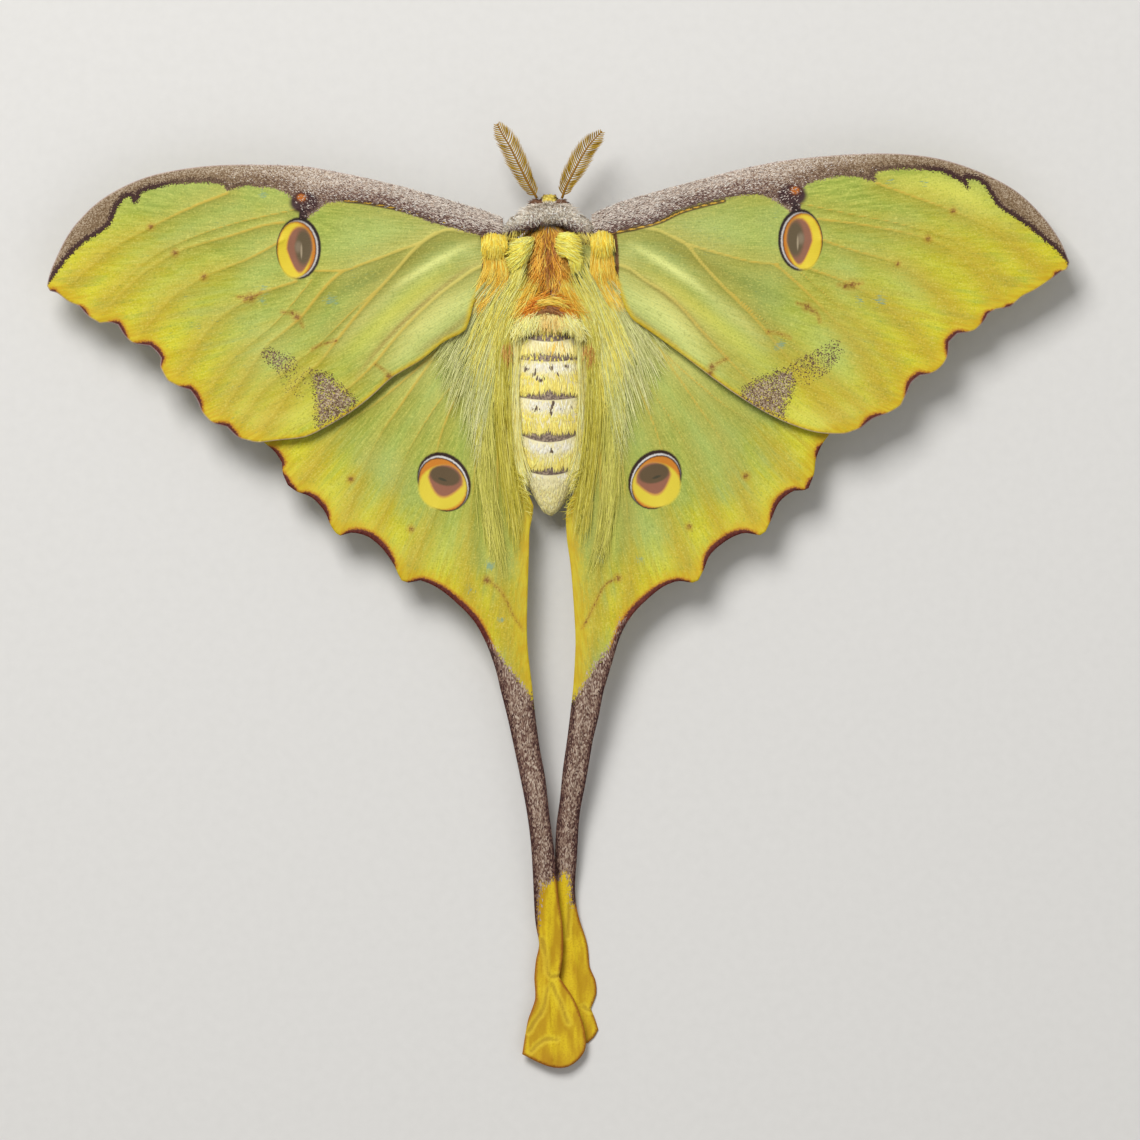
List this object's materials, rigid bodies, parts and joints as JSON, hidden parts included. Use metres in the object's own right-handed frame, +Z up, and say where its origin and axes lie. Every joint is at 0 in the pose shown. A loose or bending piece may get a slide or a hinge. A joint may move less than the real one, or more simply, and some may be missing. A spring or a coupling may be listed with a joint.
{
  "type": "african moon moth",
  "caption": "Spread African moon moth with broad scalloped wings, long ribbon tails that cross, feathered antennae and a furry body, resting on its belly.",
  "frame": {"origin": "on the floor, in the middle of the thorax's flat underside", "axes": "+X towards the moth's wing on the right of the picture, +Y towards its head, +Z up from the floor through its back"},
  "size_m": [0.1125, 0.1045, 0.0078],
  "materials": {
    "wing": "yellow-green scaled membrane with a yellow outer zone, maroon scallops, a speckled grey-brown front edge and an eyespot",
    "tail": "brown and pale grey speckled scales that turn ochre yellow towards the end",
    "thorax": "orange-brown fur with pale yellow tufts beside the wing roots",
    "collar": "grey-white fur with a brown-purple rear rim",
    "abdomen": "cream and yellow fur with dark grey-brown cross bands",
    "antenna": "ochre comb-like antenna",
    "eye": "dark compound eye",
    "leg": "reddish-brown furry leg or palp"
  },
  "bodies": {
    "root": {"forewing_l": "wing", "forewing_r": "wing", "hindwing_l": "wing", "hindwing_r": "wing", "tail_l": "tail", "tail_r": "tail", "thorax": "thorax", "head": "thorax", "collar": "collar", "abdomen": "abdomen", "antenna_l": "antenna", "antenna_r": "antenna", "eye_l": "eye", "eye_r": "eye", "palp_l": "leg", "palp_r": "leg", "leg_fore_l": "leg", "leg_fore_r": "leg", "leg_mid_l": "leg", "leg_mid_r": "leg", "leg_hind_l": "leg", "leg_hind_r": "leg"}
  },
  "joints": []
}
